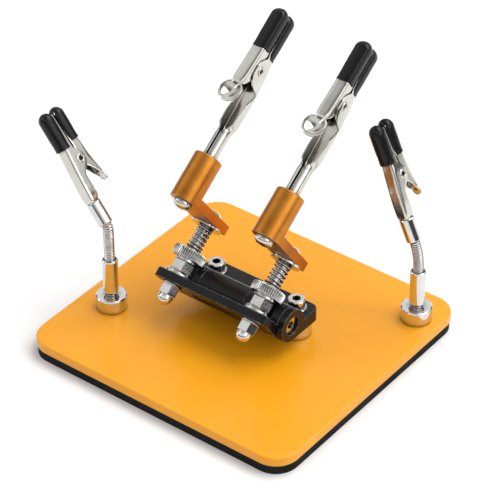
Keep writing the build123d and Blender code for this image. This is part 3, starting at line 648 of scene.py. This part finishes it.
def tension_spring(side):
    """Compression spring with closed ends, standing between the seat and the large washer."""
    swing = JOINTS[f"{side}_crank_swing"]
    axis = Vector(swing["axis"])
    other = axis.cross(ACROSS)
    top = Vector(swing["pos_m"]) - axis * SPRING_TOP
    length = SPRING_FOOT - SPRING_TOP
    pitch = (length - 2 * WIRE - 4 * WIRE * CLOSED_TURNS) / (SPRING_TURNS - 2 * CLOSED_TURNS)
    steps = int(SPRING_TURNS * SPRING_STEPS)
    centres = []
    for i in range(steps + 1):
        turned = SPRING_TURNS * i / steps
        closed = min(turned, CLOSED_TURNS) + max(turned - SPRING_TURNS + CLOSED_TURNS, 0)
        rise = WIRE + closed * 2 * WIRE + (turned - closed) * pitch
        a = tau * turned
        centres.append(top - axis * rise + (ACROSS * cos(a) + other * sin(a)) * SPRING_RADIUS)
    radii = [WIRE] * len(centres)
    mesh = grid_mesh("spring", tube_rows(centres, radii, 10), closed=True, caps=(True, True))
    piece = finish_piece(
        f"{side}_coil", mesh, "spring_steel", "tilt_head", f"{side}_tension_spring", sharp=60
    )
    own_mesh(piece)


NECK = 2.45 * MM                    # middle radius of the neck
RIB = 0.34 * MM                     # how far a rib stands out of it
RIB_PITCH = 1.2 * MM
RIB_STEPS = 8                       # to each rib
FERRULE = 12.5 * MM                 # from the neck's visible end to the clip's foot
HIDDEN_TOP = 5 * MM                 # how far the neck runs on inside the ferrule
HIDDEN_FOOT = 4 * MM                # and inside the post's cup


def gooseneck(side):
    """Ribbed flexible neck, straight out of the post and then bent towards the clip."""
    axes = arm_axes(side)
    along = axes.along
    end = axes.origin - along * FERRULE
    post = Vector(JOINTS[f"{side}_stem_turn"]["pos_m"])
    sideways = abs(end.x - post.x)
    lean = acos(along.z)
    radius = sideways / (1 - cos(lean))
    bend_z = end.z - radius * sin(lean)
    low_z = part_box(f"{side}_arm_post")[1].z - HIDDEN_FOOT
    straight = bend_z - low_z
    length = straight + radius * lean + HIDDEN_TOP
    steps = int(length / RIB_PITCH * RIB_STEPS)
    centres = []
    radii = []
    for i in range(steps + 1):
        run = length * i / steps
        if run < straight:
            centre = Vector((post.x, post.y, low_z + run))
        elif run < straight + radius * lean:
            a = (run - straight) / radius
            centre = Vector((post.x - radius * (1 - cos(a)), post.y, bend_z + radius * sin(a)))
        else:
            centre = end + along * (run - straight - radius * lean)
        centres.append(centre)
        radii.append(NECK + RIB * (2 * abs(cos(pi * run / RIB_PITCH)) ** 0.7 - 1))
    mesh = grid_mesh("neck", tube_rows(centres, radii, 24), closed=True, caps=(True, True))
    piece = finish_piece(
        f"{side}_arm_neck", mesh, "neck_steel", None, f"{side}_arm_gooseneck", sharp=60
    )
    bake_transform(piece)


KNURL_TEETH = 44
TOOTH_STEPS = 6                     # to each tooth
TOOTH_DEPTH = 0.9
NUT_BORE, NUT_COLLAR, NUT_RIM = 3.1, 6.0, 8.95      # radii
NUT_FOOT, NUT_TOP = -1.7, 5.0                       # heights from the underside of the knurl
NUT_PROFILE = (
    (NUT_BORE, NUT_FOOT), (NUT_COLLAR - 0.3, NUT_FOOT), (NUT_COLLAR, NUT_FOOT + 0.3),
    (NUT_COLLAR, 0.0), (NUT_RIM - 0.8, 0.0), (NUT_RIM - 0.5, 0.12), (NUT_RIM, 0.75),
    (NUT_RIM, NUT_TOP - 0.75), (NUT_RIM - 0.5, NUT_TOP - 0.12), (NUT_RIM - 1.0, NUT_TOP),
    (7.0, NUT_TOP), (6.7, NUT_TOP - 0.35), (NUT_BORE + 0.6, NUT_TOP - 0.35),
    (NUT_BORE, NUT_TOP - 0.7), (NUT_BORE, NUT_FOOT),
)


def knurled_nut(side):
    """Thumb nut with a straight knurl between two chamfers and a plain collar under it."""
    spin = JOINTS[f"{side}_nut_spin"]
    low = Vector(spin["pos_m"])
    axis = Vector(spin["axis"])
    other = axis.cross(ACROSS)

    def teeth(a, radius):
        if radius < NUT_RIM - 0.6:
            return 0.0
        wave = abs((a * KNURL_TEETH / tau) % 1 - 0.5) * 2
        return TOOTH_DEPTH * wave ** 0.8 * (1 if radius >= NUT_RIM else 0.4)

    def place(x, y, h):
        return low + (ACROSS * x + other * y + axis * h) * MM

    mesh = spun("knurl", place, NUT_PROFILE, KNURL_TEETH * TOOTH_STEPS, teeth)
    finish_piece(
        f"{side}_thumb_nut", mesh, "polished_steel", f"{side}_nut", f"{side}_knurled_nut", sharp=28
    )


for side in SIDES:
    knurled_nut(side)
    tension_spring(side)
    gooseneck(side)


# ---- Stage, light and camera ----------------------------------------------------------------------
FLOOR_SIZE = 6.0


def stage():
    """Plain pale floor."""
    bpy.ops.mesh.primitive_plane_add(size=FLOOR_SIZE, location=(0, 0, 0))
    floor = bpy.context.object
    floor.name = "floor"
    material = bpy.data.materials.new("floor")
    material.use_nodes = True
    shader = material.node_tree.nodes["Principled BSDF"]
    shader.inputs["Base Color"].default_value = (0.86, 0.86, 0.86, 1)
    shader.inputs["Roughness"].default_value = 0.75
    floor.data.materials.append(material)


def area_light(name, place, target, size, power):
    """Rectangular soft light that faces a point."""
    data = bpy.data.lights.new(name, "AREA")
    data.shape = "RECTANGLE"
    data.size, data.size_y = size
    data.energy = power
    lamp = bpy.data.objects.new(name, data)
    lamp.location = place
    lamp.rotation_euler = (Vector(target) - Vector(place)).to_track_quat("-Z", "Y").to_euler()
    bpy.context.scene.collection.objects.link(lamp)


STUDIO_BOTTOM = (0.55, 0.55, 0.56, 1)
STUDIO_TOP = (0.12, 0.12, 0.12, 1)
STUDIO_LEVELS = (
    (0.03, 0.06), (0.16, 0.10), (0.26, 0.50), (0.42, 0.86), (0.66, 0.95), (0.80, 0.86), (0.90, 0.40),
)


def world():
    """Pale studio that is dark near the horizon and overhead, for bright metal to reflect."""
    studio = bpy.data.worlds.new("studio")
    bpy.context.scene.world = studio
    studio.use_nodes = True
    tree = studio.node_tree
    background = tree.nodes["Background"]
    place = tree.nodes.new("ShaderNodeTexCoord")
    split = tree.nodes.new("ShaderNodeSeparateXYZ")
    tree.links.new(place.outputs["Generated"], split.inputs["Vector"])
    shade = tree.nodes.new("ShaderNodeValToRGB")
    elements = shade.color_ramp.elements
    elements[0].position = 0.0
    elements[0].color = STUDIO_BOTTOM
    elements[1].position = 1.0
    elements[1].color = STUDIO_TOP
    for at, level in STUDIO_LEVELS:
        element = elements.new(at)
        element.color = (level, level, level * 1.01, 1)
    tree.links.new(split.outputs["Z"], shade.inputs["Fac"])
    tree.links.new(shade.outputs["Color"], background.inputs["Color"])
    background.inputs["Strength"].default_value = 1.0


CAMERA_AZIMUTH = radians(37.598)
CAMERA_ELEVATION = radians(36.852)
CAMERA_ROLL = radians(-0.2225)
CAMERA_DISTANCE = 1.29065
CAMERA_TARGET = Vector((-0.043319, 0.060722, 0.0))
CAMERA_LENS = 175.05


def camera():
    """Camera at the photographed angle, on a 36 mm wide sensor."""
    data = bpy.data.cameras.new("camera")
    data.sensor_fit = "HORIZONTAL"
    data.sensor_width = 36.0
    data.lens = CAMERA_LENS
    flat = cos(CAMERA_ELEVATION)
    back = Vector((sin(CAMERA_AZIMUTH) * flat, -cos(CAMERA_AZIMUTH) * flat, sin(CAMERA_ELEVATION)))
    right = Vector((0, 0, 1)).cross(back).normalized()
    up = back.cross(right)
    rolled_right = right * cos(CAMERA_ROLL) + up * sin(CAMERA_ROLL)
    rolled_up = up * cos(CAMERA_ROLL) - right * sin(CAMERA_ROLL)
    turned = Matrix((rolled_right, rolled_up, back)).transposed().to_4x4()
    holder = bpy.data.objects.new("camera", data)
    holder.matrix_world = Matrix.Translation(CAMERA_TARGET + back * CAMERA_DISTANCE) @ turned
    bpy.context.scene.collection.objects.link(holder)
    bpy.context.scene.camera = holder


stage()
world()
bpy.context.scene.view_settings.view_transform = "Standard"
area_light("key", (0.5, 0.9, 2.3), (0, 0, 0.05), (2.2, 1.6), 44.0)
area_light("fill", (2.2, -0.4, 1.2), (0, 0, 0.05), (1.6, 1.6), 9.0)
area_light("left_strip", (-1.7, -0.9, 0.7), (0, 0, 0.08), (0.10, 1.2), 4.0)
area_light("right_strip", (1.5, 0.7, 1.1), (0, 0, 0.08), (0.10, 1.6), 5.0)
camera()
